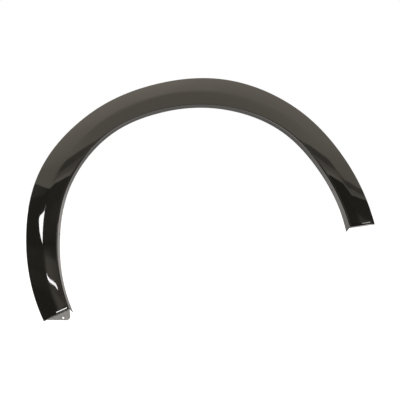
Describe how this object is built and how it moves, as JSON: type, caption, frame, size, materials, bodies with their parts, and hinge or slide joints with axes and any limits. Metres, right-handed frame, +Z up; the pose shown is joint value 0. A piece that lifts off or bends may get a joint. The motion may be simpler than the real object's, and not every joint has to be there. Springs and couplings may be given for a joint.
{
  "type": "wheel arch trim",
  "caption": "One-piece moulded trim that follows a front wheel opening: two-band gloss face, return lip, rear fixing tab and push-in clips on the hidden side.",
  "frame": {"origin": "on the crown clip's axis, at the surface of the body panel that the trim is pushed against", "axes": "+X towards the front of the car, +Y into the body side along the clips, +Z up"},
  "size_m": [1.0207, 0.0606, 0.7098],
  "materials": {
    "gloss_black": "gloss black moulded-in colour on the face, plain grained black on the lip and the hidden side",
    "nylon_white": "natural nylon, satin"
  },
  "bodies": {
    "root": {"trim": "gloss_black", "push_clips": "nylon_white"}
  },
  "joints": []
}
